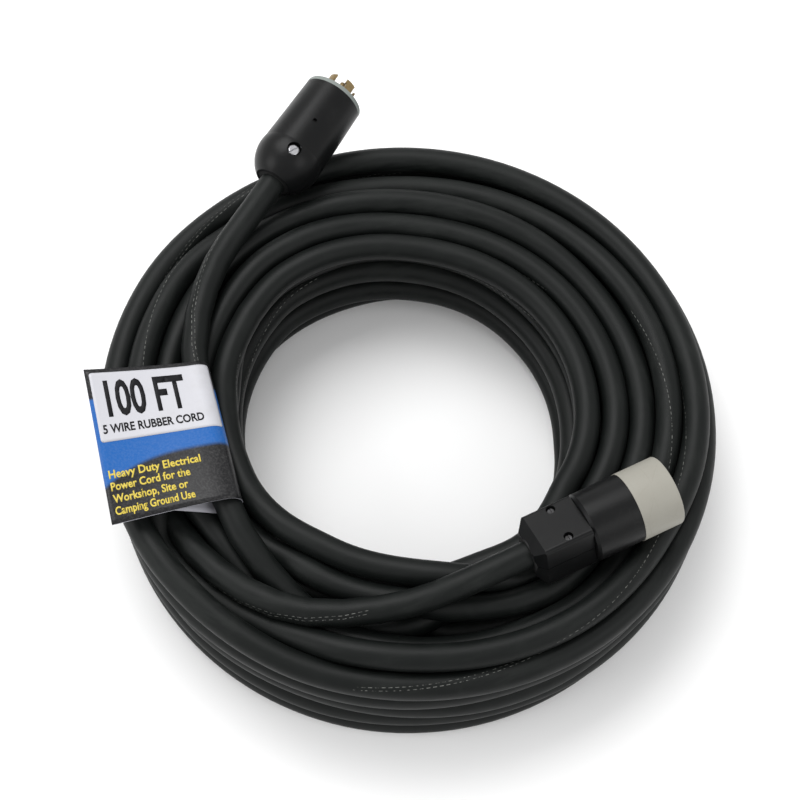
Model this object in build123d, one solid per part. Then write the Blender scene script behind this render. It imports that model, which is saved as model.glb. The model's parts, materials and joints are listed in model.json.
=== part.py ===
"""Heavy five-wire power cord set, coiled: locking plug, locking connector and a folded card label.

Millimetres, +Z up. The coil lies on the floor at z = 0, and the origin is under the middle of the
whole set. The plug and the connector are each built about their own cord axis, with z = 0 at the
rear of the body, +Z towards the mating face and +Y up, and are then placed on the coil.
"""
from build123d import *
from math import acos, atan2, cos, degrees, hypot, pi, radians, sin, tan
import os

os.makedirs("parts", exist_ok=True)

# The set's own axes are set so that the origin is under the middle of its bounding box.
SHIFT = Vector(4.15, -19.76, 0.0)

# ---------------------------------------------------------------- cord
CORD_D = 20.0
CORD_R = CORD_D / 2
WIRE_D = 4.6
WIRE_R = WIRE_D / 2
WIRE_LAY_R = 4.9
COPPER_R = 1.3
COPPER_LENGTH = 11.0

# ---------------------------------------------------------------- coil
COIL_R = 231.0
COIL_HEIGHT = 96.0
COIL_HOLE_R = 123.0
COIL_HOLE_X = -8.0
COIL_HOLE_Y = 4.0
COIL_OUTER_ROUND = 30.0
COIL_INNER_ROUND = 24.0

# ---------------------------------------------------------------- fits
FIT = 0.15
SLIP = 0.4
THREAD_GAP = 0.05

# ---------------------------------------------------------------- screws
SCREW_R = 1.6
SCREW_HOLE_R = SCREW_R + 0.2
HEAD_R = 3.0
HEAD_H = 2.2
SLOT_W = 0.8
SLOT_DEPTH = 1.0
RECESS_R = HEAD_R + 0.5
INSERT_R = 2.8
NUT_R = 3.4
NUT_H = 2.4

# ---------------------------------------------------------------- contacts and their carrier
BLADE_MID_R = 11.2
BLADE_T = 1.9
BLADE_ANGLES = {"x": 45.0, "y": 135.0, "z": 225.0, "neutral": 315.0}
BLADE_SPANS = {"x": 44.0, "y": 44.0, "z": 44.0, "neutral": 52.0}
BLADE_LENGTH = 14.0
BLADE_HOOK_H = 4.0
BLADE_HOOK_SPAN = 7.0
PIN_R = 2.4
PIN_LENGTH = 15.0
PIN_ROOT_R = 3.0
PIN_BOSS_R = 4.5
CARRIER_WALL = 2.45
CARRIER_Z = 60.0
CARRIER_LENGTH = 24.0
TERMINAL_Z = 4.0
TERMINAL_LENGTH = 12.0
TERMINAL_W = 9.0
PLATE_T = 1.2
WIRE_OFFSET = 3.0
ASSEMBLY_ANGLES = (90.0, 180.0, 270.0)
ASSEMBLY_INSET = 3.6
BOSS_R = 3.8

# The carrier is as wide as the terminals that it holds: blade, wire, plate and screw head in a row.
BLADE_R0 = BLADE_MID_R - BLADE_T / 2
BLADE_R1 = BLADE_MID_R + BLADE_T / 2
CARRIER_R = BLADE_R1 + 2 * COPPER_R + PLATE_T + HEAD_H + CARRIER_WALL
CARRIER_BORE_R = CARRIER_R + SLIP
ASSEMBLY_R = CARRIER_R - ASSEMBLY_INSET

# ---------------------------------------------------------------- plug
PLUG_LIFT = 24.8
PLUG_REAR = Vector(-107.0, 174.5, COIL_HEIGHT + PLUG_LIFT)
PLUG_AZIMUTH = 59.5
PLUG_ROLL = 0.0
PLUG_LENGTH = 91.0
PLUG_REAR_R = 15.0
PLUG_WALL = 3.2
PLUG_SWELL = 1.8
PLUG_FRONT_R = CARRIER_BORE_R + PLUG_WALL
PLUG_WAIST_R = PLUG_FRONT_R + PLUG_SWELL
PLUG_WAIST_Z = 29.0
PLUG_RIM_T = 3.5
PLUG_CAVITY_Z = 40.0
PLUG_JACKET_Z = 38.0
SADDLE_Z = (9.0, 37.0)
SADDLE_W = 16.0
SADDLE_TOP = 13.6
SADDLE_ROOM = 1.4
SADDLE_WRAP = 5.0
SADDLE_SCREW_Z = 22.0
SADDLE_SCREW_SEAT = 20.4
SADDLE_SCREW_SIZE = 1.6
SADDLE_TURN = 17.0
SADDLE_SLOT_TURN = 65.0
GROMMET_WALL = 3.2
GROMMET_R = CORD_R + GROMMET_WALL
GROMMET_LENGTH = 6.5
DIMPLE_Z = 52.0
DIMPLE_R = 1.8
DIMPLE_DEPTH = 1.2

# ---------------------------------------------------------------- connector
CONN_LIFT = 26.6
CONN_REAR = Vector(81.1, -129.8, COIL_HEIGHT + CONN_LIFT)
CONN_AZIMUTH = 25.8
CONN_ROLL = -19.0
CONN_LENGTH = 112.0
CONN_WALL = 4.6
CONN_STEP = 0.4
CONN_R = CARRIER_BORE_R + CONN_WALL
CONN_FRONT_R = CONN_R + CONN_STEP
CONN_FRONT_Z = 80.6
CONN_CLAMP_W = 38.0
CONN_CLAMP_LENGTH = 44.0
CONN_CLAMP_ROUND = 3.0
CONN_REAR_CHAMFER = 7.0
CONN_CAVITY_Z = 46.0
CONN_JACKET_Z = 43.0
CONN_SPLIT = 0.3
CONN_SCREW_X = 13.4
CONN_SCREW_Z = 27.0
CONN_SCREW_SEAT = 14.6
RIB_Z = (12.0, 22.0, 34.0)
RIB_T = 2.0
RIB_H = 0.6
SLOT_GAP = 0.35
SLOT_FACE_T = 11.0
LEAF_T = 0.8
LEAF_LENGTH = 14.0
PIN_HOLE_R = PIN_R + 0.15
PIN_HOLE_LENGTH = 8.0
SLEEVE_R = 4.3

# ---------------------------------------------------------------- leads, from the fittings onto the coil
# Each point is x, y and the height over the coil's top.
PLUG_LEAD = [(-155.0, 102.0, 15.5), (-167.0, 26.0, 13.8), (-132.0, -103.0, 13.8), (-78.0, -160.0, -13.0)]
PLUG_LEAD_START = 30.0
CONN_LEAD = [(-5.0, -165.0, 13.0), (-83.0, -171.0, 11.0), (-147.0, -133.0, 5.0), (-187.0, -75.0, -14.0)]
CONN_LEAD_START = 40.0
ARC_SHARE = 0.45

# ---------------------------------------------------------------- label
CARD_T = 0.5
CARD_LENGTH = 112.0
CARD_START = 7.0
CARD_W = 82.0
CARD_SHIFT = 1.6
CARD_SLACK = 2.5
CARD_LOOP_R = CORD_R + CARD_SLACK
CARD_PINCH_X = 38.0
CARD_BACK_SHORT = 2.0
CARD_TILT = 12.0
STICKER_T = 0.2
STICKER_LENGTH = 51.0
STICKER_W = 74.0
STICKER_INSET = 3.0
STICKER_ROUND = 6.0


# ================================================================ shared shapes
def placed(rear, azimuth, roll):
    """Location of a fitting: its z axis level along the azimuth, turned about itself by the roll."""
    az = radians(azimuth)
    level = Plane(origin=rear, x_dir=(-sin(az), cos(az), 0), z_dir=(cos(az), sin(az), 0))
    return level.location * Rotation(0, 0, roll)


PLUG_AT = placed(PLUG_REAR, PLUG_AZIMUTH, PLUG_ROLL)
CONN_AT = placed(CONN_REAR, CONN_AZIMUTH, CONN_ROLL)


def rod(radius, z0, z1, x=0.0, y=0.0):
    """Cylinder along z from z0 to z1."""
    return Pos(x, y, (z0 + z1) / 2) * Cylinder(radius, z1 - z0)


def brick(x0, x1, y0, y1, z0, z1):
    """Box between two corners."""
    return Pos((x0 + x1) / 2, (y0 + y1) / 2, (z0 + z1) / 2) * Box(x1 - x0, y1 - y0, z1 - z0)


def polar(radius, angle):
    """X and y of a point at a radius and an angle in degrees."""
    return radius * cos(radians(angle)), radius * sin(radians(angle))


def arc_bar(r0, r1, span, z0, z1, angle):
    """Bar with an arc-shaped section between two radii, centred on an angle."""
    half = span / 2
    a, b = polar(r1, angle - half), polar(r1, angle + half)
    c, d = polar(r0, angle + half), polar(r0, angle - half)
    edges = [
        ThreePointArc(a, polar(r1, angle), b),
        Line(b, c),
        ThreePointArc(c, polar(r0, angle), d),
        Line(d, a),
    ]
    return extrude(Pos(0, 0, z0) * make_face(edges), z1 - z0)


def screw(length, size=1.0):
    """Slotted pan-head screw: the head's underside at z = 0, the shank down to z = -length."""
    head_r, head_h, slot = HEAD_R * size, HEAD_H * size, SLOT_W * size
    head = rod(head_r, 0, head_h)
    head = fillet(head.edges().group_by(Axis.Z)[-1], head_h * 0.45)
    body = head + rod(SCREW_R * size, -length, 0)
    return body - brick(-head_r, head_r, -slot / 2, slot / 2, head_h - SLOT_DEPTH * size, head_h)


def facing_up(x, y, z):
    """Location at a point with the local z axis turned to +Y."""
    return Pos(x, y, z) * Rotation(-90, 0, 0)


def facing_out(radius, angle, z):
    """Location on a radius with the local z axis pointing away from the axis."""
    x, y = polar(radius, angle)
    return Pos(x, y, z) * Rotation(0, 0, angle) * Rotation(0, 90, 0)


def tube(path_points, radius, radii):
    """Round bar along straight runs joined by tangent arcs."""
    path = FilletPolyline(*path_points, radius=radii)
    return sweep(Plane(origin=path @ 0, z_dir=path % 0) * Circle(radius), path=path)


def over_coil(x, y, up):
    """A point at a height over the coil's top."""
    return Vector(x, y, COIL_HEIGHT + up)


def corner_radii(points, limit=None):
    """Radius for each corner: an arc that takes a fixed share of the shorter run beside it."""
    radii = []
    for before, here, after in zip(points, points[1:], points[2:]):
        run_in, run_out = here - before, after - here
        turn = radians(run_in.get_angle(run_out))
        radius = ARC_SHARE * min(run_in.length, run_out.length) / tan(turn / 2)
        radii.append(min(radius, limit) if limit else radius)
    return radii


# ================================================================ contact carrier, alike in both fittings
CARRIER_END = CARRIER_Z + CARRIER_LENGTH
TERMINAL_FROM = CARRIER_Z + TERMINAL_Z
TERMINAL_TO = TERMINAL_FROM + TERMINAL_LENGTH
TERMINAL_MID = (TERMINAL_FROM + TERMINAL_TO) / 2
WIRE_SEAT_R = BLADE_R1 + COPPER_R
PLATE_R0 = BLADE_R1 + 2 * COPPER_R
TAIL_Z = TERMINAL_FROM
GROUND_SCREW_Z = CARRIER_Z + 6.0
GROUND_BOSS_END = CARRIER_Z + 11.0


def on_blade(angle):
    """Location whose x axis points out along a blade's angle."""
    return Rotation(0, 0, angle)


def contact_carrier():
    """Moulded insulator that holds the four contacts, the ground contact and their terminals."""
    body = rod(CARRIER_R, CARRIER_Z, CARRIER_END)
    for name, angle in BLADE_ANGLES.items():
        span = BLADE_SPANS[name] + 2.0
        body -= arc_bar(BLADE_R0 - FIT, BLADE_R1 + FIT, span, TAIL_Z - FIT, CARRIER_END, angle)
        window = brick(BLADE_R1, CARRIER_R + 1, -TERMINAL_W / 2 - FIT, TERMINAL_W / 2 + FIT,
                       TERMINAL_FROM, TERMINAL_TO)
        entry = rod(WIRE_R + FIT, CARRIER_Z, TERMINAL_FROM, WIRE_SEAT_R, WIRE_OFFSET)
        body -= on_blade(angle) * (window + entry)
    body -= rod(PIN_ROOT_R + FIT, CARRIER_Z, CARRIER_END)
    body -= rod(PIN_BOSS_R + FIT, CARRIER_Z, GROUND_BOSS_END)
    body -= Pos(0, 0, GROUND_SCREW_Z) * Rotation(0, 90, 0) * rod(RECESS_R, 0, CARRIER_R + 1)
    for angle in ASSEMBLY_ANGLES:
        x, y = polar(ASSEMBLY_R, angle)
        body -= rod(SCREW_HOLE_R, CARRIER_Z, CARRIER_END, x, y)
    return body


def terminal_screws():
    """Four screws through the pressure plates and one in the ground boss."""
    group = []
    seat = PLATE_R0 + PLATE_T
    for angle in BLADE_ANGLES.values():
        group.append(facing_out(seat, angle, TERMINAL_MID) * screw(seat - BLADE_R0))
    group.append(facing_out(PIN_BOSS_R, 0.0, GROUND_SCREW_Z) * screw(PIN_BOSS_R - COPPER_R - THREAD_GAP))
    return Compound(children=group)


def pressure_plates():
    """Square plates that the terminal screws press onto the stripped wires."""
    group = []
    for angle in BLADE_ANGLES.values():
        plate = brick(PLATE_R0, PLATE_R0 + PLATE_T, -TERMINAL_W / 2, TERMINAL_W / 2,
                      TERMINAL_FROM + 1.0, TERMINAL_TO - 1.0)
        plate -= Pos(0, 0, TERMINAL_MID) * Rotation(0, 90, 0) * rod(SCREW_HOLE_R, 0, CARRIER_R)
        group.append(on_blade(angle) * plate)
    return Compound(children=group)


def tail(name):
    """Terminal end of a blade or contact, inside the carrier, tapped for its screw."""
    angle = BLADE_ANGLES[name]
    body = arc_bar(BLADE_R0, BLADE_R1, BLADE_SPANS[name], TAIL_Z, CARRIER_END, angle)
    tapped = Pos(0, 0, TERMINAL_MID) * Rotation(0, 90, 0) * rod(SCREW_R + THREAD_GAP, 0, CARRIER_R)
    return body - on_blade(angle) * tapped


def ground_boss():
    """Terminal end of the ground contact, drilled for the wire and tapped for its screw."""
    body = rod(PIN_BOSS_R, CARRIER_Z + FIT, GROUND_BOSS_END)
    body -= rod(COPPER_R + THREAD_GAP, CARRIER_Z, CARRIER_Z + COPPER_LENGTH - 2.0)
    tapped = Pos(0, 0, GROUND_SCREW_Z) * Rotation(0, 90, 0) * rod(SCREW_R + THREAD_GAP, 0, CARRIER_R)
    return body - tapped


WIRE_ENDS = {"black": "x", "red": "y", "blue": "z", "white": "neutral", "green": None}
WIRE_ANGLES = {"black": 54.0, "red": 126.0, "blue": 198.0, "white": 342.0, "green": 270.0}


def wire(colour, jacket_z):
    """One insulated conductor from the cut end of the jacket to its terminal, with its stripped end."""
    x0, y0 = polar(WIRE_LAY_R, WIRE_ANGLES[colour])
    if WIRE_ENDS[colour]:
        seat = on_blade(BLADE_ANGLES[WIRE_ENDS[colour]]) * Pos(WIRE_SEAT_R, WIRE_OFFSET, 0)
        x1, y1 = seat.position.X, seat.position.Y
        strip_z = TERMINAL_FROM - FIT
    else:
        x1, y1 = 0.0, 0.0
        strip_z = CARRIER_Z - 1.0
    bend_out = jacket_z + 4.0
    bend_in = CARRIER_Z - 3.5
    points = [Vector(x0, y0, jacket_z), Vector(x0, y0, bend_out), Vector(x1, y1, bend_in),
              Vector(x1, y1, strip_z)]
    body = tube(points, WIRE_R, corner_radii(points, limit=8.0))
    return body + rod(COPPER_R, strip_z, strip_z + COPPER_LENGTH - 2.0, x1, y1)


def grommet(r_out):
    """Rubber ring that seals the cord at the rear of a fitting."""
    return rod(r_out, FIT, GROMMET_LENGTH) - rod(CORD_R, 0, GROMMET_LENGTH)


def bosses(z0, z1):
    """Posts in a housing that the assembly screws are driven into."""
    posts = []
    for angle in ASSEMBLY_ANGLES:
        x, y = polar(ASSEMBLY_R, angle)
        posts.append(rod(BOSS_R, z0, z1, x, y))
    return posts


def assembly_screws(seat_z, tip_z):
    """Screws from the mating face through the carrier into the housing."""
    group = []
    for angle in ASSEMBLY_ANGLES:
        x, y = polar(ASSEMBLY_R, angle)
        group.append(Pos(x, y, seat_z) * screw(seat_z - tip_z))
    return Compound(children=group)


# ================================================================ plug
PLUG_FACE_Z = PLUG_LENGTH - PLUG_RIM_T
PLUG_SEAT_Z = PLUG_LENGTH - HEAD_H - 0.4
PLUG_TIP_Z = PLUG_CAVITY_Z + 5.0
SADDLE_SIDE = Rotation(0, 0, SADDLE_TURN)
SADDLE_INSERT_R = INSERT_R * SADDLE_SCREW_SIZE
SADDLE_RECESS_R = HEAD_R * SADDLE_SCREW_SIZE + 0.8


def plug_housing():
    """Moulded shell: rounded rear with the cord clamp, and the bore for the carrier."""
    bulge = (PLUG_REAR_R + PLUG_WAIST_R) / 2 + 2.6
    outline = [
        Line((0, 0), (PLUG_REAR_R, 0)),
        ThreePointArc((PLUG_REAR_R, 0), (bulge, PLUG_WAIST_Z * 0.34), (PLUG_WAIST_R, PLUG_WAIST_Z)),
        Line((PLUG_WAIST_R, PLUG_WAIST_Z), (PLUG_FRONT_R, PLUG_FACE_Z)),
        Line((PLUG_FRONT_R, PLUG_FACE_Z), (0, PLUG_FACE_Z)),
        Line((0, PLUG_FACE_Z), (0, 0)),
    ]
    body = revolve(Plane.XZ * make_face(outline), Axis.Z)
    body -= rod(CARRIER_BORE_R, PLUG_CAVITY_Z, PLUG_FACE_Z)
    for post in bosses(PLUG_CAVITY_Z - 1, CARRIER_Z):
        body += post & rod(CARRIER_BORE_R + 1, PLUG_CAVITY_Z - 1, CARRIER_Z)
    body -= rod(CORD_R, 0, PLUG_CAVITY_Z)
    body -= rod(GROMMET_R, 0, GROMMET_LENGTH)
    half = SADDLE_W / 2 + FIT
    room = brick(-half, half, 0, SADDLE_TOP + SADDLE_ROOM, SADDLE_Z[0] - FIT, SADDLE_Z[1] + FIT)
    insert_hole = facing_up(0, 0, SADDLE_SCREW_Z) * rod(SADDLE_INSERT_R, SADDLE_TOP, SADDLE_SCREW_SEAT)
    recess = facing_up(0, 0, SADDLE_SCREW_Z) * rod(SADDLE_RECESS_R, SADDLE_SCREW_SEAT, PLUG_WAIST_R + 1)
    dimple = facing_up(0, PLUG_FRONT_R - DIMPLE_DEPTH, DIMPLE_Z) * rod(DIMPLE_R, 0, PLUG_WAIST_R)
    for cut in (room, insert_hole, recess, dimple):
        body -= SADDLE_SIDE * cut
    for angle in ASSEMBLY_ANGLES:
        x, y = polar(ASSEMBLY_R, angle)
        body -= rod(SCREW_R + THREAD_GAP, PLUG_TIP_Z - 1.0, CARRIER_Z, x, y)
    return body


def plug_face():
    """Front cap: grey rim, spigot into the housing, slots for the blades and the pin."""
    body = rod(PLUG_FRONT_R, PLUG_FACE_Z, PLUG_LENGTH)
    body = fillet(body.edges().group_by(Axis.Z)[-1], 0.8)
    body += rod(CARRIER_BORE_R - FIT, CARRIER_END, PLUG_FACE_Z)
    for name, angle in BLADE_ANGLES.items():
        span = BLADE_SPANS[name] + 1.5
        body -= arc_bar(BLADE_R0 - FIT, BLADE_R1 + FIT, span, CARRIER_END, PLUG_LENGTH, angle)
    body -= rod(PIN_ROOT_R + FIT, CARRIER_END, PLUG_LENGTH)
    for angle in ASSEMBLY_ANGLES:
        x, y = polar(ASSEMBLY_R, angle)
        body -= rod(SCREW_HOLE_R, CARRIER_END, PLUG_LENGTH, x, y)
        body -= rod(RECESS_R, PLUG_SEAT_Z, PLUG_LENGTH, x, y)
    return body


def plug_blade(name):
    """Curved blade with its locking hook at the tip."""
    angle, span = BLADE_ANGLES[name], BLADE_SPANS[name]
    tip = PLUG_LENGTH + BLADE_LENGTH
    free = arc_bar(BLADE_R0, BLADE_R1, span - BLADE_HOOK_SPAN, CARRIER_END, tip, angle + BLADE_HOOK_SPAN / 2)
    hook = arc_bar(BLADE_R0, BLADE_R1, span, tip - BLADE_HOOK_H, tip, angle)
    root = arc_bar(BLADE_R0, BLADE_R1, span, CARRIER_END, PLUG_LENGTH, angle)
    body = tail(name) + root + free + hook
    top = body.edges().filter_by(GeomType.CIRCLE).group_by(Axis.Z)[-1]
    return chamfer(top, BLADE_T * 0.3)


def plug_ground_pin():
    """Round ground pin with its wire boss."""
    pin = rod(PIN_R, PLUG_LENGTH, PLUG_LENGTH + PIN_LENGTH)
    pin = fillet(pin.edges().group_by(Axis.Z)[-1], PIN_R * 0.6)
    return pin + rod(PIN_ROOT_R, GROUND_BOSS_END, PLUG_LENGTH) + ground_boss()


def plug_clamp_saddle():
    """Saddle that the clamp screw presses onto the cord."""
    half = SADDLE_W / 2
    body = brick(-half, half, SADDLE_WRAP, SADDLE_TOP, *SADDLE_Z)
    body -= rod(CORD_R, SADDLE_Z[0] - 1, SADDLE_Z[1] + 1)
    return SADDLE_SIDE * body


def plug_clamp_screw():
    """Large slotted clamp screw in its recess on the housing."""
    reach = SADDLE_SCREW_SEAT - SADDLE_TOP
    seat = facing_up(0, SADDLE_SCREW_SEAT, SADDLE_SCREW_Z) * Rotation(0, 0, SADDLE_SLOT_TURN)
    return SADDLE_SIDE * seat * screw(reach, SADDLE_SCREW_SIZE)


def plug_clamp_insert():
    """Threaded insert moulded into the housing for the clamp screw."""
    thread_r = SCREW_R * SADDLE_SCREW_SIZE + THREAD_GAP
    ring = rod(SADDLE_INSERT_R, SADDLE_TOP + SADDLE_ROOM, SADDLE_SCREW_SEAT) - rod(thread_r, 0, PLUG_WAIST_R)
    return SADDLE_SIDE * facing_up(0, 0, SADDLE_SCREW_Z) * ring


# ================================================================ connector
CONN_SEAT_Z = CONN_LENGTH - HEAD_H - 0.6
CONN_TIP_Z = CONN_CAVITY_Z + 4.0
LEAF_FROM = CARRIER_END + 2.0
LEAF_TO = LEAF_FROM + LEAF_LENGTH
CHAMBER_END = CONN_LENGTH - SLOT_FACE_T
LEAF_GAP = 0.1
LEAF_R0 = BLADE_R0 - LEAF_GAP - LEAF_T
LEAF_R1 = BLADE_R1 + LEAF_GAP + LEAF_T
SLEEVE_END = CONN_LENGTH - PIN_HOLE_LENGTH
SLEEVE_FLOOR = CARRIER_END + 2.0


def clamp_block():
    """Square rear section with rounded edges and a chamfered rear."""
    half = CONN_CLAMP_W / 2
    body = brick(-half, half, -half, half, 0, CONN_CLAMP_LENGTH)
    body = chamfer(body.edges().group_by(Axis.Z)[0], CONN_REAR_CHAMFER)
    long_edges = body.edges().filter_by(Axis.Z)
    body = fillet(long_edges, CONN_CLAMP_ROUND)
    body -= rod(CORD_R + RIB_H, 0, CONN_CLAMP_LENGTH)
    for z in RIB_Z:
        body += rod(CORD_R + RIB_H + 1, z, z + RIB_T) - rod(CORD_R, z, z + RIB_T)
    body -= rod(GROMMET_R, 0, GROMMET_LENGTH)
    return body


def clamp_holes():
    """Screw holes, head recesses and nut pockets of the connector's clamp."""
    half = CONN_CLAMP_W / 2
    cuts = []
    for x in (-CONN_SCREW_X, CONN_SCREW_X):
        cuts.append(facing_up(x, 0, CONN_SCREW_Z) * rod(SCREW_HOLE_R, -half - 1, CONN_SCREW_SEAT))
        cuts.append(facing_up(x, 0, CONN_SCREW_Z) * rod(RECESS_R, CONN_SCREW_SEAT, half + 1))
        nut_room = extrude(RegularPolygon(NUT_R + FIT, 6), half - CONN_SCREW_SEAT + 1)
        cuts.append(facing_up(x, -half - 1, CONN_SCREW_Z) * nut_room)
    return cuts


def connector_housing():
    """Lower half of the clamp and the round collar behind the front barrel."""
    half = CONN_CLAMP_W / 2
    body = clamp_block() & brick(-half - 1, half + 1, -half - 1, -CONN_SPLIT, 0, CONN_CLAMP_LENGTH)
    collar = rod(CONN_R, CONN_CLAMP_LENGTH, CONN_FRONT_Z)
    collar = chamfer(collar.edges().group_by(Axis.Z)[0], 2.0)
    collar -= rod(CARRIER_BORE_R, CONN_CAVITY_Z, CONN_FRONT_Z)
    collar -= rod(CORD_R, CONN_CLAMP_LENGTH, CONN_CAVITY_Z)
    for post in bosses(CONN_CAVITY_Z - 1, CARRIER_Z):
        collar += post & rod(CARRIER_BORE_R + 1, CONN_CAVITY_Z - 1, CARRIER_Z)
    for angle in ASSEMBLY_ANGLES:
        x, y = polar(ASSEMBLY_R, angle)
        collar -= rod(SCREW_R + THREAD_GAP, CONN_TIP_Z - 1.0, CARRIER_Z, x, y)
    body += collar
    for cut in clamp_holes():
        body -= cut
    return body


def connector_clamp_cover():
    """Upper half of the clamp, drawn down onto the cord by two screws."""
    half = CONN_CLAMP_W / 2
    body = clamp_block() & brick(-half - 1, half + 1, CONN_SPLIT, half + 1, 0, CONN_CLAMP_LENGTH - FIT)
    for cut in clamp_holes():
        body -= cut
    return body


def connector_front():
    """Pale barrel with four curved slots and the ground hole."""
    body = rod(CONN_FRONT_R, CONN_FRONT_Z, CONN_LENGTH)
    body = fillet(body.edges().group_by(Axis.Z)[-1], 1.2)
    body -= rod(CARRIER_BORE_R, CONN_FRONT_Z, CARRIER_END)
    for name, angle in BLADE_ANGLES.items():
        span = BLADE_SPANS[name]
        body -= arc_bar(LEAF_R0 - FIT, LEAF_R1 + FIT, span + 3.0, CARRIER_END, CHAMBER_END, -angle)
        body -= arc_bar(BLADE_R0 - SLOT_GAP, BLADE_R1 + SLOT_GAP, span + 12.0, CHAMBER_END, CONN_LENGTH, -angle)
    body -= rod(PIN_HOLE_R, CARRIER_END, CONN_LENGTH)
    body -= rod(SLEEVE_R + FIT, CARRIER_END, SLEEVE_END)
    for angle in ASSEMBLY_ANGLES:
        x, y = polar(ASSEMBLY_R, angle)
        body -= rod(SCREW_HOLE_R, CARRIER_END, CONN_LENGTH, x, y)
        body -= rod(RECESS_R, CONN_SEAT_Z, CONN_LENGTH, x, y)
    return body


def connector_contact(name):
    """Sprung contact: a tail in the carrier and two leaves that grip the blade."""
    angle, span = BLADE_ANGLES[name], BLADE_SPANS[name]
    bridge = arc_bar(LEAF_R0, LEAF_R1, span, CARRIER_END, LEAF_FROM, angle)
    inner = arc_bar(LEAF_R0, LEAF_R0 + LEAF_T, span, LEAF_FROM, LEAF_TO, angle)
    outer = arc_bar(LEAF_R1 - LEAF_T, LEAF_R1, span, LEAF_FROM, LEAF_TO, angle)
    return tail(name) + bridge + inner + outer


def connector_ground_contact():
    """Sleeve that takes the ground pin, with its wire boss."""
    body = rod(PIN_ROOT_R, GROUND_BOSS_END, CARRIER_END) + ground_boss()
    body += rod(SLEEVE_R, CARRIER_END, SLEEVE_END) - rod(PIN_HOLE_R, SLEEVE_FLOOR, SLEEVE_END)
    return body


def connector_clamp_screws():
    """Two screws through the clamp, one on each side of the cord."""
    group = []
    for x in (-CONN_SCREW_X, CONN_SCREW_X):
        group.append(facing_up(x, CONN_SCREW_SEAT, CONN_SCREW_Z) * screw(2 * CONN_SCREW_SEAT + NUT_H))
    return Compound(children=group)


def connector_clamp_nuts():
    """Hexagon nuts in the pockets under the clamp."""
    group = []
    for x in (-CONN_SCREW_X, CONN_SCREW_X):
        nut = extrude(RegularPolygon(NUT_R, 6), NUT_H)
        nut -= rod(SCREW_R + THREAD_GAP, 0, NUT_H)
        group.append(facing_up(x, -CONN_SCREW_SEAT - NUT_H, CONN_SCREW_Z) * nut)
    return Compound(children=group)


# ================================================================ free cord
def lead(at, jacket_z, start, points, name):
    """Round cord: straight from its cut end to the fitting's rear, then along the chosen points."""
    first = at.position
    second = (at * Pos(0, 0, -start)).position
    route = [first, second] + [over_coil(*point) for point in points]
    radii = corner_radii(route)
    print(name, "runs", [round((b - a).length) for a, b in zip(route, route[1:])])
    print(name, "radii", [round(r) for r in radii])
    body = tube(route, CORD_R, radii)
    path = FilletPolyline(*route, radius=radii)
    ratio = body.volume / (pi * CORD_R ** 2 * path.length)
    print(name, "length", round(path.length), "volume ratio", round(ratio, 4))
    return body + at * rod(CORD_R, 0, jacket_z)


def coil():
    """The coil's outer shape, flat underneath. The leads run into its top."""
    disc = rod(COIL_R, 0, COIL_HEIGHT)
    disc = fillet(disc.edges().filter_by(GeomType.CIRCLE), COIL_OUTER_ROUND)
    ring = disc - rod(COIL_HOLE_R, 0, COIL_HEIGHT, COIL_HOLE_X, COIL_HOLE_Y)
    rims = ring.edges().filter_by(GeomType.CIRCLE).filter_by(lambda e: abs(e.radius - COIL_HOLE_R) < 0.01)
    return fillet(rims, COIL_INNER_ROUND)


# ================================================================ label
LEAD_A = over_coil(*PLUG_LEAD[1])
LEAD_B = over_coil(*PLUG_LEAD[2])
LEAD_DIR = (LEAD_B - LEAD_A).normalized()
LEAD_SIDE = Vector(-LEAD_DIR.Y, LEAD_DIR.X, 0)
LABEL_PLANE = Plane(origin=LEAD_A + LEAD_DIR * CARD_START + LEAD_SIDE * CARD_SHIFT,
                    x_dir=LEAD_SIDE, z_dir=LEAD_DIR)
LABEL_AT = LABEL_PLANE.location * Rotation(0, 0, -CARD_TILT)
CARD_OUT_R = CARD_LOOP_R + CARD_T


def label_card():
    """Folded card: a loop round the lead, and two leaves that meet beside it."""
    mid_r = CARD_LOOP_R + CARD_T / 2
    reach = hypot(CARD_PINCH_X, mid_r)
    toward = degrees(atan2(mid_r, -CARD_PINCH_X))
    leave = toward + degrees(acos(mid_r / reach))
    loop = Circle(CARD_OUT_R) - Circle(CARD_LOOP_R)
    far = 4 * CARD_OUT_R
    loop -= Polygon((0, 0), (0, far), (-far, far), (-far, -far), polar(far, leave), align=None)
    lap = CARD_T / 10
    low_in, low_out = polar(CARD_LOOP_R, leave), polar(CARD_OUT_R, leave)
    top = CARD_LOOP_R + lap
    leaves = [
        [(-CARD_W, CARD_LOOP_R), (lap, CARD_LOOP_R), (lap, CARD_OUT_R), (-CARD_W, CARD_OUT_R)],
        [low_out, (low_in[0] + lap, low_in[1]), (CARD_T - CARD_PINCH_X, top), (-CARD_PINCH_X - CARD_T, top)],
        [(CARD_BACK_SHORT - CARD_W, CARD_LOOP_R - CARD_T), (-CARD_PINCH_X, CARD_LOOP_R - CARD_T),
         (-CARD_PINCH_X, top), (CARD_BACK_SHORT - CARD_W, top)],
    ]
    card = extrude(loop, CARD_LENGTH, dir=(0, 0, 1))
    for corners in leaves:
        card += extrude(Polygon(*corners, align=None), CARD_LENGTH, dir=(0, 0, 1))
    return LABEL_AT * card


def label_sticker():
    """Paper sticker on the upper part of the front leaf."""
    sheet = extrude(RectangleRounded(STICKER_W, STICKER_LENGTH, STICKER_ROUND), STICKER_T)
    x = -CARD_W + STICKER_INSET + STICKER_W / 2
    z = STICKER_INSET + STICKER_LENGTH / 2
    return LABEL_AT * Pos(x, CARD_OUT_R, z) * Rotation(-90, 0, 0) * sheet


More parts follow.
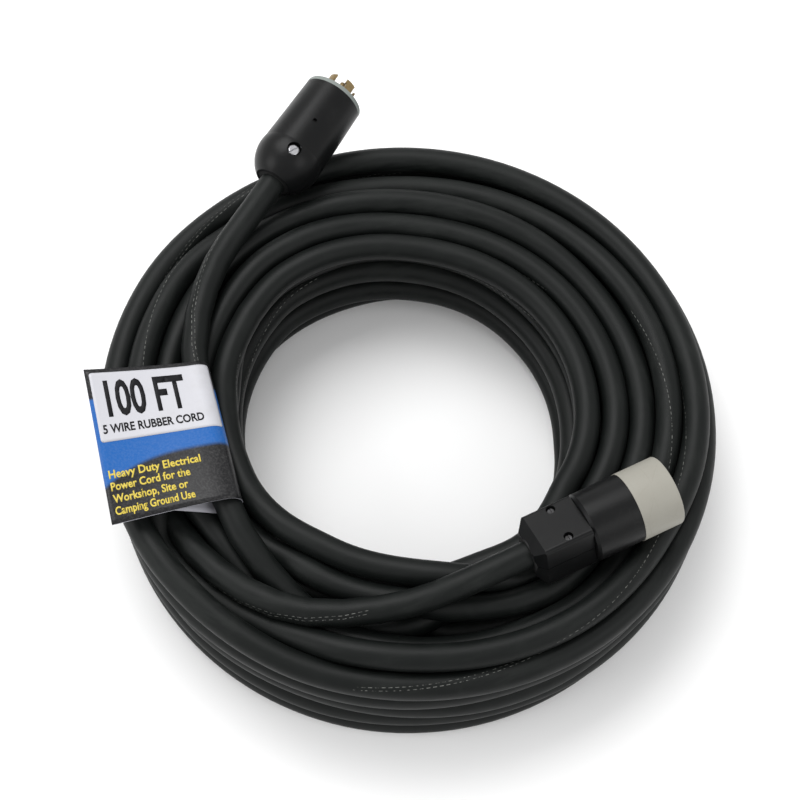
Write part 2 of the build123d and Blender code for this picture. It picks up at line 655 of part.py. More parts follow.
# ================================================================ the set
def build():
    """Every node's solid, in the set's own frame."""
    nodes = {
        "plug_housing": PLUG_AT * plug_housing(),
        "plug_face": PLUG_AT * plug_face(),
        "plug_contact_carrier": PLUG_AT * contact_carrier(),
        "plug_ground_pin": PLUG_AT * plug_ground_pin(),
        "plug_terminal_screws": PLUG_AT * terminal_screws(),
        "plug_pressure_plates": PLUG_AT * pressure_plates(),
        "plug_assembly_screws": PLUG_AT * assembly_screws(PLUG_SEAT_Z, PLUG_TIP_Z),
        "plug_clamp_saddle": PLUG_AT * plug_clamp_saddle(),
        "plug_clamp_screw": PLUG_AT * plug_clamp_screw(),
        "plug_clamp_insert": PLUG_AT * plug_clamp_insert(),
        "plug_cord_grommet": PLUG_AT * grommet(GROMMET_R),
        "connector_housing": CONN_AT * connector_housing(),
        "connector_clamp_cover": CONN_AT * connector_clamp_cover(),
        "connector_front": CONN_AT * connector_front(),
        "connector_contact_carrier": CONN_AT * mirror(contact_carrier(), about=Plane.XZ),
        "connector_ground_contact": CONN_AT * mirror(connector_ground_contact(), about=Plane.XZ),
        "connector_terminal_screws": CONN_AT * mirror(terminal_screws(), about=Plane.XZ),
        "connector_pressure_plates": CONN_AT * mirror(pressure_plates(), about=Plane.XZ),
        "connector_assembly_screws": CONN_AT * assembly_screws(CONN_SEAT_Z, CONN_TIP_Z),
        "connector_clamp_screws": CONN_AT * connector_clamp_screws(),
        "connector_clamp_nuts": CONN_AT * connector_clamp_nuts(),
        "connector_cord_grommet": CONN_AT * grommet(GROMMET_R),
        "cord_plug_lead": lead(PLUG_AT, PLUG_JACKET_Z, PLUG_LEAD_START, PLUG_LEAD, "plug lead"),
        "cord_connector_lead": lead(CONN_AT, CONN_JACKET_Z, CONN_LEAD_START, CONN_LEAD, "connector lead"),
        "cord_coil": coil(),
        "label_card": label_card(),
        "label_sticker": label_sticker(),
    }
    for name in BLADE_ANGLES:
        nodes["plug_blade_" + name] = PLUG_AT * plug_blade(name)
        nodes["connector_contact_" + name] = CONN_AT * mirror(connector_contact(name), about=Plane.XZ)
    for colour in WIRE_ENDS:
        nodes["plug_wire_" + colour] = PLUG_AT * wire(colour, PLUG_JACKET_Z)
        nodes["connector_wire_" + colour] = CONN_AT * mirror(wire(colour, CONN_JACKET_Z), about=Plane.XZ)
    return {name: Pos(SHIFT) * body for name, body in nodes.items()}


for node, solid in build().items():
    export_step(solid, "parts/" + node + ".step")
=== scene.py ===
"""Coiled five-wire power cord set, with its locking plug, locking connector and folded card label.

Metres, +Z up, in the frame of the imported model. The cord is one line from the plug, round the whole
coil and on to the connector. The fittings keep their modelled shapes and get their finishes here.
"""
from __future__ import annotations

import json
import logging
import math
from dataclasses import dataclass, field
from enum import Enum
from typing import Any, Iterable, Sequence, Union

import bmesh
import bpy
import numpy as np
from mathutils import Matrix, Vector

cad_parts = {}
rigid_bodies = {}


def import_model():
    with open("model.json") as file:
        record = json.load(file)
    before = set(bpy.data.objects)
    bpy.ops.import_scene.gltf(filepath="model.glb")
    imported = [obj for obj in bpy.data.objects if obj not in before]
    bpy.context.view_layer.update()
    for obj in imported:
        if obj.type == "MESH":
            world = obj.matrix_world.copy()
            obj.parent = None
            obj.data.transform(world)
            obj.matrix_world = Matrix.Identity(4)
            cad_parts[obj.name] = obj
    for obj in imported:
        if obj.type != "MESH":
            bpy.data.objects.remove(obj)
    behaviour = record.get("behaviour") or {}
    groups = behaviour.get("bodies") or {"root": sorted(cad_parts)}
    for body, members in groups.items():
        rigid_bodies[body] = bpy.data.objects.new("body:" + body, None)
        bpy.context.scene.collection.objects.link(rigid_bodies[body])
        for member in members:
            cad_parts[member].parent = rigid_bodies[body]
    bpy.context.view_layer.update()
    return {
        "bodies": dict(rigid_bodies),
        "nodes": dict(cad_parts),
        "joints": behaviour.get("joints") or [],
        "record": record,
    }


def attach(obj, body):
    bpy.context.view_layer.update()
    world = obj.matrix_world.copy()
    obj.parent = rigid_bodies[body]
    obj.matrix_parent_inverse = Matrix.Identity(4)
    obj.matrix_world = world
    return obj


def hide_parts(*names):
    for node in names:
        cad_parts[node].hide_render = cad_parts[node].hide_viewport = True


LOG = logging.getLogger("cord_set")
MM = 0.001
SHIFT = Vector((4.15, -19.76, 0.0)) * MM
Triple = tuple[float, float, float]


def on_set(x: float, y: float, z: float) -> Vector:
    """A point given in millimetres from the coil's centre, in the set's frame in metres."""
    return Vector((x, y, z)) * MM + SHIFT


# ================================================================ sizes shared by the pieces
@dataclass(frozen=True)
class Fitting:
    """Where a round thing lies on the coil: the middle of its rear end and the way it points."""

    rear: Triple
    azimuth: float
    length: float
    radius: float

    def axis(self) -> Vector:
        """Unit vector from the rear to the mating face."""
        turn = math.radians(self.azimuth)
        return Vector((math.cos(turn), math.sin(turn), 0.0))

    def along(self, z: float) -> Vector:
        """A point on the fitting's axis, in millimetres from its rear face."""
        return on_set(*self.rear) + self.axis() * z * MM


COIL_HEIGHT = 96.0
FITTING_R = 26.0
PLUG = Fitting((-107.0, 174.5, COIL_HEIGHT + 24.8), azimuth=59.5, length=91.0, radius=FITTING_R)
CONNECTOR = Fitting((81.1, -129.8, COIL_HEIGHT + 26.6), azimuth=25.8, length=112.0, radius=FITTING_R)
CORD_D = 20.0
CORD_R = CORD_D / 2
PLUG_LEAD: list[Triple] = [
    (-155.0, 102.0, 15.5), (-167.0, 26.0, 13.8), (-132.0, -103.0, 13.8), (-78.0, -160.0, -13.0),
]
PLUG_LEAD_START = 30.0
CONNECTOR_LEAD: list[Triple] = [
    (-5.0, -165.0, 13.0), (-83.0, -171.0, 11.0), (-147.0, -133.0, 5.0), (-187.0, -75.0, -14.0),
]
CONNECTOR_LEAD_START = 40.0


SLEEVE = Fitting((-168.0, 30.0, COIL_HEIGHT + 13.8), azimuth=-74.8, length=124.0, radius=13.9)


def over_coil(point: Triple) -> Vector:
    """A point of a lead, whose height is counted from the coil's top, in the set's frame."""
    return on_set(point[0], point[1], COIL_HEIGHT + point[2])


# ================================================================ the coil's turns
@dataclass
class Coil:
    """Loose turns laid on the floor, one long line that goes round with the angle.

    A turn has a place in the coil's cross-section, a column counted from the hole and a row
    counted from the floor. Between the places the turns settle under their weight, a cord's
    thickness apart, and they drift in and out as cord that was coiled by hand does.
    """

    stations: int = 48
    gap: float = 20.2
    floor: float = 10.2
    row_step: float = 18.9
    last_column: float = 4.5
    rounds: int = 700
    first_angle: float = 244.0
    last_angle: float = 202.0
    wander: float = 6.0
    fitting_room: tuple[float, float] = (-14.0, 8.0)
    leaf_room: tuple[float, float] = (-20.0, 11.0)
    leaf_reach: float = 100.0
    leaf_ceiling: float = 104.0
    seed: int = 11
    outer: tuple[tuple[float, float], ...] = (
        (0, 231), (60, 231), (115, 232), (135, 237), (155, 241), (172, 237), (195, 231), (270, 231),
        (315, 232),
    )
    hole: tuple[tuple[float, float], ...] = (
        (0, 113), (45, 115), (90, 121), (135, 133), (180, 130), (215, 127), (250, 120), (275, 119),
        (306, 130), (335, 118),
    )
    top_row: tuple[tuple[float, tuple[float, ...]], ...] = (
        (355, (135, 156, 175, 195, 214)),
        (45, (130, 150, 170, 192, 216)),
        (92, (128, 147, 168, 190, 218)),
        (166, (146, 160, 184, 203, 222)),
        (205, (146, 160, 180, 200, 220)),
        (240, (135, 152, 172, 193, 216)),
        (272, (130, 148, 170, 193, 216)),
    )
    places: tuple[tuple[int, float], ...] = (
        (4, 3), (4, 4),
        (3, 4.5), (2, 4), (1, 4.5),
        (0, 4.5), (0, 3.6), (0, 2.7), (0, 1.8), (0, 0.9), (0, 0),
        (1, 0.5), (1, 1.5), (1, 2.5), (1, 3.5),
        (2, 3), (2, 2), (2, 1), (2, 0),
        (3, 0.5),
        (4, 0), (4, 1), (4, 2),
        (3, 1.5), (3, 2.5), (3, 3.5), (4, 3),
    )
    top_index: int = 4

    def around(self, table: Sequence[tuple[float, Any]], angles: np.ndarray) -> np.ndarray:
        """Values of a table of angle and value or values, read smoothly round the full circle.

        Args:
            table: Pairs of an angle in degrees and a number or a tuple of numbers.
            angles: Angles in degrees, of any size.

        Returns:
            One value, or one row of values, for each angle.
        """
        rows = sorted((a % 360.0, np.atleast_1d(np.array(v, float))) for a, v in table)
        keys = np.array([rows[-1][0] - 360.0] + [a for a, _ in rows] + [rows[0][0] + 360.0])
        values = np.array([rows[-1][1]] + [v for _, v in rows] + [rows[0][1]])
        read = [np.interp(angles % 360.0, keys, values[:, k]) for k in range(values.shape[1])]
        return np.array(read).T

    def place_at(self, turn: float, angle: float) -> tuple[float, float]:
        """Radius and height that a place in the cross-section has at an angle.

        Args:
            turn: Which turn, with its fraction, counted from the first.
            angle: The angle round the coil in degrees.

        Returns:
            The radius and the height in millimetres.
        """
        row, column = self.places[int(turn)]
        hole = float(self.around(self.hole, np.array([angle]))[0, 0]) + CORD_R
        rim = float(self.around(self.outer, np.array([angle]))[0, 0]) - CORD_R - 1.0
        if row == self.top_index:
            radii = self.around(self.top_row, np.array([angle]))[0]
            radius = float(np.interp(column, range(len(radii)), radii))
        else:
            radius = hole + (rim - hole) * column / self.last_column
        return radius, self.floor + row * self.row_step

    def settle(self, held: dict[int, tuple[float, float]]) -> list[Vector]:
        """Lay the turns and let them settle.

        Args:
            held: Stations that a lead passes, counted along the cord, with their radius and height.

        Returns:
            The line's points in millimetres, from the plug's end of the coil to the connector's.
        """
        step = 360.0 / self.stations
        first = math.ceil(self.first_angle / step) + 1
        laps = len(self.places) - 1
        last = math.floor((self.last_angle + 360.0 * laps) / step) - 1
        total = (laps + 1) * self.stations
        radius = np.full(total, np.nan)
        height = np.full(total, np.nan)
        for i in range(first, last + 1):
            angle = i * step
            turn = (angle - self.first_angle) / 360.0
            whole = int(turn)
            part = turn - whole
            ease = min(max((part * 360.0 - 6.0) / 80.0, 0.0), 1.0)
            ease = ease * ease * (3 - 2 * ease)
            here = self.place_at(whole, angle)
            before = self.place_at(max(whole - 1, 0), angle)
            radius[i] = before[0] + (here[0] - before[0]) * ease
            height[i] = before[1] + (here[1] - before[1]) * ease
        rise = (self.last_angle + 360.0 * laps - 95.0) / step
        for i in range(int(rise), last + 1):
            ease = min((i - rise) / (70.0 / step), 1.0)
            goal = self.place_at(laps, i * step)
            radius[i] += (goal[0] - radius[i]) * ease
            height[i] += (goal[1] - height[i]) * ease
        radius += self.drift(total)
        free = ~np.isnan(radius)
        goal_r = radius.copy()
        for i, (r, z) in held.items():
            radius[i], height[i] = r, z
        return self.relax(radius, height, goal_r, free, first, last)

    def drift(self, total: int) -> np.ndarray:
        """Slow wandering of the turns in and out, in millimetres, the same on each run."""
        noise = np.random.default_rng(self.seed)
        turn = np.arange(total) * 2 * math.pi / self.stations
        out = np.zeros(total)
        for pace in (0.61, 1.37, 2.23, 3.41):
            out += noise.uniform(0.3, 1.0) / pace ** 0.5 * np.sin(pace * turn + noise.uniform(0, 6.28))
        return out * self.wander / 2.4

    def ceiling(self, radius: np.ndarray, angle: np.ndarray) -> np.ndarray:
        """Greatest height of a turn's middle under the fittings and under the label."""
        x, y = radius * np.cos(angle), radius * np.sin(angle)
        top = np.full(radius.shape, 1e3)
        for fitting in (PLUG, CONNECTOR, SLEEVE):
            axis = fitting.axis()
            dx, dy = x - fitting.rear[0], y - fitting.rear[1]
            ahead = dx * axis.x + dy * axis.y
            aside = -dx * axis.y + dy * axis.x
            reach = fitting.radius + self.gap / 2 + 0.2
            before, after = self.fitting_room
            under = (ahead > before) & (ahead < fitting.length + after) & (np.abs(aside) < reach)
            limit = fitting.rear[2] - np.sqrt(np.maximum(reach ** 2 - aside ** 2, 0.0))
            top = np.where(under, np.minimum(top, limit), top)
            if fitting is SLEEVE:
                before, after = self.leaf_room
                leaf = (ahead > before) & (ahead < fitting.length + after)
                leaf &= (aside < 0.0) & (aside > -self.leaf_reach)
                top = np.where(leaf, np.minimum(top, self.leaf_ceiling), top)
        return top

    def relax(self, radius: np.ndarray, height: np.ndarray, goal_r: np.ndarray, free: np.ndarray,
              first: int, last: int) -> list[Vector]:
        """Push the turns apart and let them sink, over and over.

        Args:
            radius: Start radii along the cord, one for each station passed.
            height: Start heights.
            goal_r: Radii that the turns are drawn towards.
            free: Stations that may move.
            first: First free station.
            last: Last free station.

        Returns:
            The settled points in millimetres.
        """
        step = 2 * math.pi / self.stations
        angle = np.arange(radius.size) * step
        inside = self.around(self.hole, np.degrees(angle))[:, 0] + CORD_R
        outside = self.around(self.outer, np.degrees(angle))[:, 0] - CORD_R
        used = ~np.isnan(radius)
        r = np.where(used, radius, 1e5 + 100.0 * np.arange(radius.size))
        z = np.where(used, height, 1e5)
        shape = (-1, self.stations)
        for count in range(self.rounds):
            calm = 1.0 - count / self.rounds
            dr = np.zeros_like(r)
            dz = np.zeros_like(z)
            dz[free] -= 0.30 * calm
            dr[free] += 0.03 * (goal_r[free] - r[free])
            r, z = r + np.where(free, dr, 0), z + np.where(free, dz, 0)
            for _ in range(5):
                rr, zz = r.reshape(shape), z.reshape(shape)
                gap_r = rr[:, None, :] - rr[None, :, :]
                gap_z = zz[:, None, :] - zz[None, :, :]
                apart = np.hypot(gap_r, gap_z) + 1e-6
                lap = np.maximum(self.gap - apart, 0.0)
                for k in range(rr.shape[0]):
                    lap[k, k, :] = 0.0
                push = 0.5 * lap / apart
                move_r = (push * gap_r).sum(1).ravel()
                move_z = (push * gap_z).sum(1).ravel()
                r = r + np.where(free, 0.9 * move_r, 0)
                z = z + np.where(free, 0.9 * move_z, 0)
                z = np.where(free, np.minimum(z, self.ceiling(r, angle)), z)
                z = np.where(free, np.maximum(z, self.floor), z)
                r = np.where(free, np.clip(r, inside, outside), r)
            smooth = 0.22 if count < self.rounds * 0.93 else 0.06
            inner = slice(first, last + 1)
            for values in (r, z):
                bent = np.zeros_like(values)
                before = np.roll(values, 1)
                after = np.roll(values, -1)
                bent[inner] = (before + after - 2 * values)[inner]
                bent[first] = bent[last] = 0.0
                if used[first - 1]:
                    bent[first] = before[first] + after[first] - 2 * values[first]
                if used[last + 1]:
                    bent[last] = before[last] + after[last] - 2 * values[last]
                values += np.where(free, smooth * bent, 0)
        deepest, highest = self.tightest(r, z)
        LOG.info("coil settled: deepest overlap %.2f mm, highest turn at %.1f mm", deepest, highest)
        index = range(first, last + 1)
        return [Vector((r[i] * math.cos(angle[i]), r[i] * math.sin(angle[i]), z[i])) for i in index]

    def tightest(self, r: np.ndarray, z: np.ndarray) -> tuple[float, float]:
        """Deepest overlap of two turns and the highest turn's middle, in millimetres."""
        rr, zz = r.reshape(-1, self.stations), z.reshape(-1, self.stations)
        deepest = 0.0
        for k in range(rr.shape[0]):
            for other in range(k + 1, rr.shape[0]):
                apart = np.hypot(rr[k] - rr[other], zz[k] - zz[other])
                deepest = max(deepest, float((CORD_D - apart).max()))
        return deepest, float(z[z < 1e4].max())


# ================================================================ shader building
Number = Union[int, float]
Input = Union["Value", Number, Sequence[float]]


class Value:
    """An output socket that takes part in Python arithmetic; each operator adds one Math node."""

    def __init__(self, graph: "Graph", socket: bpy.types.NodeSocket) -> None:
        """Wrap a socket of a graph."""
        self.graph = graph
        self.socket = socket

    def math(self, operation: str, first: Input, second: Input = 0.0) -> "Value":
        """Add a Math node on two inputs."""
        return self.graph.node("ShaderNodeMath", {"operation": operation}, {0: first, 1: second})

    def __add__(self, other: Input) -> "Value":
        """Sum."""
        return self.math("ADD", self, other)

    def __radd__(self, other: Input) -> "Value":
        """Sum, reflected."""
        return self.math("ADD", other, self)

    def __sub__(self, other: Input) -> "Value":
        """Difference."""
        return self.math("SUBTRACT", self, other)

    def __rsub__(self, other: Input) -> "Value":
        """Difference, reflected."""
        return self.math("SUBTRACT", other, self)

    def __mul__(self, other: Input) -> "Value":
        """Product."""
        return self.math("MULTIPLY", self, other)

    def __rmul__(self, other: Input) -> "Value":
        """Product, reflected."""
        return self.math("MULTIPLY", other, self)

    def __lt__(self, other: Input) -> "Value":
        """One where this is less."""
        return self.math("LESS_THAN", self, other)

    def __pow__(self, other: Input) -> "Value":
        """Power."""
        return self.math("POWER", self, other)

    def wrap(self, period: float) -> "Value":
        """Remainder within a period, from 0 up to the period."""
        return self.math("FRACT", self * (1.0 / period)) * period

    def abs(self) -> "Value":
        """Absolute value."""
        return self.math("ABSOLUTE", self)

    def ramp(self, low: float, high: float) -> "Value":
        """Rise from 0 at the low value to 1 at the high value, level outside."""
        return self.graph.node("ShaderNodeMapRange", {"clamp": True, "interpolation_type": "SMOOTHSTEP"},
                               {"Value": self, "From Min": low, "From Max": high})


class Graph:
    """A material's node tree and the few kinds of node that the finishes use."""

    def __init__(self, name: str) -> None:
        """Start a material with one Principled shader."""
        self.material = bpy.data.materials.new(name)
        self.material.use_nodes = True
        self.tree = self.material.node_tree
        self.shader = self.tree.nodes["Principled BSDF"]

    def node(self, kind: str, settings: dict[str, Any], sockets: dict[Union[int, str], Input],
             output: Union[int, str] = 0) -> Value:
        """Add a node.

        Args:
            kind: The node's type.
            settings: Its own settings, set first.
            sockets: Values or links of its inputs, by name or number.
            output: The output that is wanted.

        Returns:
            The output, ready for arithmetic.
        """
        made = self.tree.nodes.new(kind)
        for key, value in settings.items():
            setattr(made, key, value)
        for key, value in sockets.items():
            self.feed(made.inputs[key], value)
        return Value(self, made.outputs[output])

    def feed(self, socket: bpy.types.NodeSocket, value: Input) -> None:
        """Link an input or set it to a constant."""
        if isinstance(value, Value):
            self.tree.links.new(value.socket, socket)
        elif isinstance(value, (int, float)):
            socket.default_value = value
        else:
            filled = tuple(value)
            wanted = len(socket.default_value)
            socket.default_value = filled + (1.0,) * (wanted - len(filled))

    def place(self, scale: Triple = (1.0, 1.0, 1.0), source: str = "Object") -> Value:
        """Coordinates, in metres, or the piece's own UV map, stretched by a scale."""
        coords = self.node("ShaderNodeTexCoord", {}, {}, source)
        return self.node("ShaderNodeMapping", {}, {"Vector": coords, "Scale": scale})

    def noise(self, place: Value, scale: float, detail: float = 4.0, rough: float = 0.55) -> Value:
        """Noise from 0 to 1 about the middle."""
        return self.node("ShaderNodeTexNoise", {}, {"Vector": place, "Scale": scale, "Detail": detail,
                                                    "Roughness": rough})

    def scratches(self, place: Value, scale: float) -> Value:
        """Thin lines of random cells, one on a line."""
        cells = self.node("ShaderNodeTexVoronoi", {"feature": "DISTANCE_TO_EDGE"},
                          {"Vector": place, "Scale": scale})
        return 1 - cells.ramp(0.0, 0.035)

    def mix(self, factor: Input, first: Input, second: Input) -> Value:
        """Blend of two colours."""
        return self.node("ShaderNodeMix", {"data_type": "RGBA"}, {0: factor, 6: first, 7: second}, 2)

    def bump(self, height: Value, distance: float, strength: float = 1.0) -> None:
        """Feed the shader's normal from a height in units of the distance in metres."""
        normal = self.node("ShaderNodeBump", {}, {"Height": height, "Distance": distance,
                                                  "Strength": strength})
        self.feed(self.shader.inputs["Normal"], normal)

    def set(self, **values: Input) -> None:
        """Set or link the shader's sockets; an underscore in a name stands for a space."""
        for key, value in values.items():
            self.feed(self.shader.inputs[key.replace("_", " ")], value)


# ================================================================ finishes
@dataclass(frozen=True)
class Moulding:
    """Moulded plastic or rubber: a fine grain, a little mottling, handling marks and dust."""

    name: str
    colour: Triple
    rough: float = 0.42
    shine: float = 0.16
    dust: float = 0.35
    dust_colour: Triple = (0.026, 0.026, 0.025)
    grain: float = 0.00006
    grain_scale: float = 900.0

    def material(self) -> bpy.types.Material:
        """Build the material."""
        graph = Graph(self.name)
        place = graph.place()
        cloud = graph.noise(place, 22.0, 3.0)
        speck = graph.noise(place, 160.0, 5.0, 0.7)
        marks = graph.scratches(graph.place((1.0, 0.35, 1.0)), 70.0) * cloud.ramp(0.48, 0.62)
        dusty = (cloud.ramp(0.40, 0.72) * 0.6 + speck.ramp(0.52, 0.75) * 0.4) * self.dust
        shade = graph.mix(dusty * 0.5 + marks * 0.10, self.colour, self.dust_colour)
        graph.set(Base_Color=shade, Roughness=self.rough + dusty * 0.25 + marks * 0.12 + speck * 0.05,
                  Specular_IOR_Level=self.shine)
        graph.bump(graph.noise(place, self.grain_scale, 2.0) + marks * -0.6, self.grain)
        return graph.material


@dataclass(frozen=True)
class Metal:
    """Plain or plated metal with brushed streaks and tarnish in patches."""

    name: str
    colour: Triple
    tarnish_colour: Triple
    rough: float = 0.28
    tarnish: float = 0.5
    streaks: Triple = (1.0, 1.0, 0.12)

    def material(self) -> bpy.types.Material:
        """Build the material."""
        graph = Graph(self.name)
        streak = graph.noise(graph.place(self.streaks), 900.0, 3.0, 0.6)
        patch = graph.noise(graph.place(), 120.0, 4.0, 0.6).ramp(0.42, 0.66) * self.tarnish
        graph.set(Base_Color=graph.mix(patch, self.colour, self.tarnish_colour),
                  Metallic=1.0 - patch * 0.35, Roughness=self.rough + streak * 0.12 + patch * 0.3)
        graph.bump(streak, 0.00003)
        return graph.material


@dataclass(frozen=True)
class Jacket:
    """Rubber cord jacket: satin, dusty in places, with a printed legend that repeats along it.

    The piece's UV map gives metres along the cord in U and turns round the cord in V.
    """

    name: str
    colour: Triple = (0.0046, 0.0057, 0.0053)
    dust_colour: Triple = (0.028, 0.031, 0.029)
    print_colour: Triple = (0.20, 0.205, 0.19)
    rough: float = 0.46
    shine: float = 0.16
    print_period: float = 0.61
    print_length: float = 0.26
    print_height: float = 0.052
    letter: float = 0.0046

    def legend(self, graph: Graph, along: Value, around: Value) -> Value:
        """Mask of the faint raised print: blocks of random width on one side of the cord."""
        line = (around.wrap(1.0) - 0.5).abs() < self.print_height * 0.5
        text = along.wrap(self.print_period) < self.print_length
        cells = graph.node("ShaderNodeCombineXYZ", {}, {"X": along, "Y": around * math.pi * 0.020})
        letters = graph.node("ShaderNodeTexBrick", {"offset": 0.37},
                             {"Vector": cells, "Color1": (1, 1, 1), "Color2": (0.55, 0.55, 0.55),
                              "Mortar": (0, 0, 0), "Scale": 1.0, "Mortar Size": self.letter * 0.22,
                              "Brick Width": self.letter, "Row Height": 0.0024}, "Color")
        wear = graph.noise(cells, 420.0, 3.0).ramp(0.36, 0.60)
        return line * text * wear * letters

    def material(self) -> bpy.types.Material:
        """Build the material."""
        graph = Graph(self.name)
        place = graph.place()
        uv = graph.node("ShaderNodeTexCoord", {}, {}, "UV")
        split = graph.tree.nodes.new("ShaderNodeSeparateXYZ")
        graph.feed(split.inputs[0], uv)
        along, around = Value(graph, split.outputs[0]), Value(graph, split.outputs[1])
        turn = around * math.tau
        stretched = graph.node("ShaderNodeCombineXYZ", {}, {
            "X": along * 6.0, "Y": turn.math("COSINE", turn) * 0.25, "Z": turn.math("SINE", turn) * 0.25})
        streak = graph.noise(stretched, 7.0, 5.0, 0.62)
        cloud = graph.noise(place, 9.0, 4.0, 0.6)
        rub = graph.noise(place, 75.0, 5.0, 0.65)
        dusty = cloud.ramp(0.42, 0.68) * streak.ramp(0.35, 0.70)
        legend = self.legend(graph, along, around)
        shade = graph.mix(dusty * 0.28 + rub.ramp(0.56, 0.76) * 0.10, self.colour, self.dust_colour)
        shade = graph.mix(legend * 0.85, shade, self.print_colour)
        graph.set(Base_Color=shade, Roughness=self.rough + dusty * 0.16 + (rub - 0.5) * 0.12,
                  Specular_IOR_Level=self.shine)
        graph.bump(streak * 0.7 + rub * 0.25 + legend * 0.5, 0.00022)
        return graph.material


@dataclass(frozen=True)
class PrintedCard:
    """Coated card, printed in bands; U runs from the free edge to the fold, V from top to bottom."""

    name: str
    black: Triple = (0.008, 0.0078, 0.0088)
    blue: Triple = (0.010, 0.098, 0.345)
    blue_from: float = 0.20
    blue_to: float = 0.605
    sweep: float = 0.16

    def material(self) -> bpy.types.Material:
        """Build the material."""
        graph = Graph(self.name)
        uv = graph.node("ShaderNodeTexCoord", {}, {}, "UV")
        split = graph.tree.nodes.new("ShaderNodeSeparateXYZ")
        graph.feed(split.inputs[0], uv)
        across, down = Value(graph, split.outputs[0]), Value(graph, split.outputs[1])
        place = graph.place()
        inward = 1 - across
        lower = down - inward.math("MAXIMUM", inward, 0.0) ** 3.0 * self.sweep
        band = down.ramp(self.blue_from - 0.01, self.blue_from + 0.01) * (
            1 - lower.ramp(self.blue_to - 0.02, self.blue_to + 0.02))
        fleck = graph.noise(place, 700.0, 3.0)
        worn = graph.noise(place, 60.0, 5.0, 0.7).ramp(0.60, 0.80)
        shade = graph.mix(band, self.black, self.blue)
        shade = graph.mix(fleck.ramp(0.35, 0.8) * 0.05 + worn * 0.05, shade, (0.55, 0.55, 0.55))
        graph.set(Base_Color=shade, Roughness=0.34 + worn * 0.2, Coat_Weight=0.06,
                  Specular_IOR_Level=0.2)
        graph.shader.inputs["Coat Roughness"].default_value = 0.18
        graph.bump(graph.noise(place, 350.0, 3.0) + worn * 0.5, 0.00004)
        return graph.material


@dataclass(frozen=True)
class Paper:
    """Paper or plain card: fine fibres, faint soiling."""

    name: str
    colour: Triple = (0.50, 0.50, 0.535)
    soil_colour: Triple = (0.34, 0.335, 0.33)
    rough: float = 0.5

    def material(self) -> bpy.types.Material:
        """Build the material."""
        graph = Graph(self.name)
        place = graph.place()
        fibre = graph.noise(graph.place((1.0, 0.4, 1.0)), 800.0, 4.0, 0.7)
        soil = graph.noise(place, 30.0, 5.0, 0.65).ramp(0.52, 0.80) * 0.35 + fibre * 0.10
        graph.set(Base_Color=graph.mix(soil, self.colour, self.soil_colour),
                  Roughness=self.rough + fibre * 0.15)
        graph.bump(fibre, 0.00003)
        return graph.material


class Finish(Enum):
    """The finishes of the set, by the material slot that each stands for."""

    BLACK_MOULDING = Moulding("black_moulding", (0.0040, 0.0042, 0.0044), rough=0.30)
    GREY_FACE = Moulding("grey_face", (0.185, 0.205, 0.195), rough=0.45, dust_colour=(0.30, 0.31, 0.29))
    IVORY_FACE = Moulding("ivory_face", (0.285, 0.276, 0.242), rough=0.40, dust_colour=(0.19, 0.175, 0.14))
    CARRIER_MOULDING = Moulding("carrier_moulding", (0.05, 0.05, 0.055), rough=0.5)
    GROMMET_RUBBER = Moulding("grommet_rubber", (0.015, 0.015, 0.015), rough=0.6)
    AGED_BRASS = Metal("aged_brass", (0.26, 0.19, 0.095), (0.075, 0.052, 0.032), rough=0.36, tarnish=0.7)
    INSERT_BRASS = Metal("insert_brass", (0.70, 0.52, 0.22), (0.3, 0.2, 0.08))
    TERMINAL_STEEL = Metal("terminal_steel", (0.60, 0.59, 0.57), (0.30, 0.28, 0.25))
    PLATED_STEEL = Metal("plated_steel", (0.52, 0.52, 0.54), (0.22, 0.22, 0.23), rough=0.16, tarnish=0.6)
    # Steel for the connector's clamp screws, darkened as painted shade for heads that sit deep in their
    # recesses.
    RECESS_SHADE_STEEL = Metal("dark_steel", (0.085, 0.085, 0.088), (0.03, 0.028, 0.026), rough=0.42, tarnish=0.6)
    CORD_JACKET = Jacket("cord_jacket")
    PRINTED_CARD = PrintedCard("printed_card")
    CARD_INSIDE = Paper("card_inside", (0.46, 0.46, 0.51))
    WHITE_STICKER = Paper("white_sticker", rough=0.35)
    BLACK_INK = Moulding("black_ink", (0.006, 0.006, 0.0075), rough=0.5, grain_scale=1500.0)
    YELLOW_INK = Moulding("yellow_ink", (0.60, 0.47, 0.075), rough=0.4, dust_colour=(0.45, 0.38, 0.12),
                          grain_scale=1500.0)
    WIRE_BLACK = Moulding("wire_black", (0.01, 0.01, 0.01))
    WIRE_RED = Moulding("wire_red", (0.42, 0.02, 0.02), dust_colour=(0.3, 0.1, 0.1))
    WIRE_BLUE = Moulding("wire_blue", (0.02, 0.05, 0.38), dust_colour=(0.1, 0.12, 0.3))
    WIRE_WHITE = Moulding("wire_white", (0.65, 0.65, 0.63), dust_colour=(0.45, 0.44, 0.4))
    WIRE_GREEN = Moulding("wire_green", (0.02, 0.22, 0.05), dust_colour=(0.1, 0.22, 0.1))

    def material(self) -> bpy.types.Material:
        """The finish's material, built once."""
        found = bpy.data.materials.get("finish_" + self.value.name)
        if found is None:
            found = self.value.material()
            found.name = "finish_" + self.value.name
        return found


# ================================================================ making pieces
def add_object(name: str, data: bpy.types.ID) -> bpy.types.Object:
    """Put data in the scene as a piece at the origin."""
    piece = bpy.data.objects.new(name, data)
    bpy.context.scene.collection.objects.link(piece)
    return piece


def finished(piece: bpy.types.Object, body: str, slot: str, *finishes: Finish) -> bpy.types.Object:
    """Dress a piece and let it ride on its body."""
    piece.data.materials.clear()
    for finish in finishes:
        piece.data.materials.append(finish.material())
    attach(piece, body)
    return piece


def shade_smooth(mesh: bpy.types.Mesh) -> None:
    """Round shading on every face."""
    mesh.polygons.foreach_set("use_smooth", [True] * len(mesh.polygons))


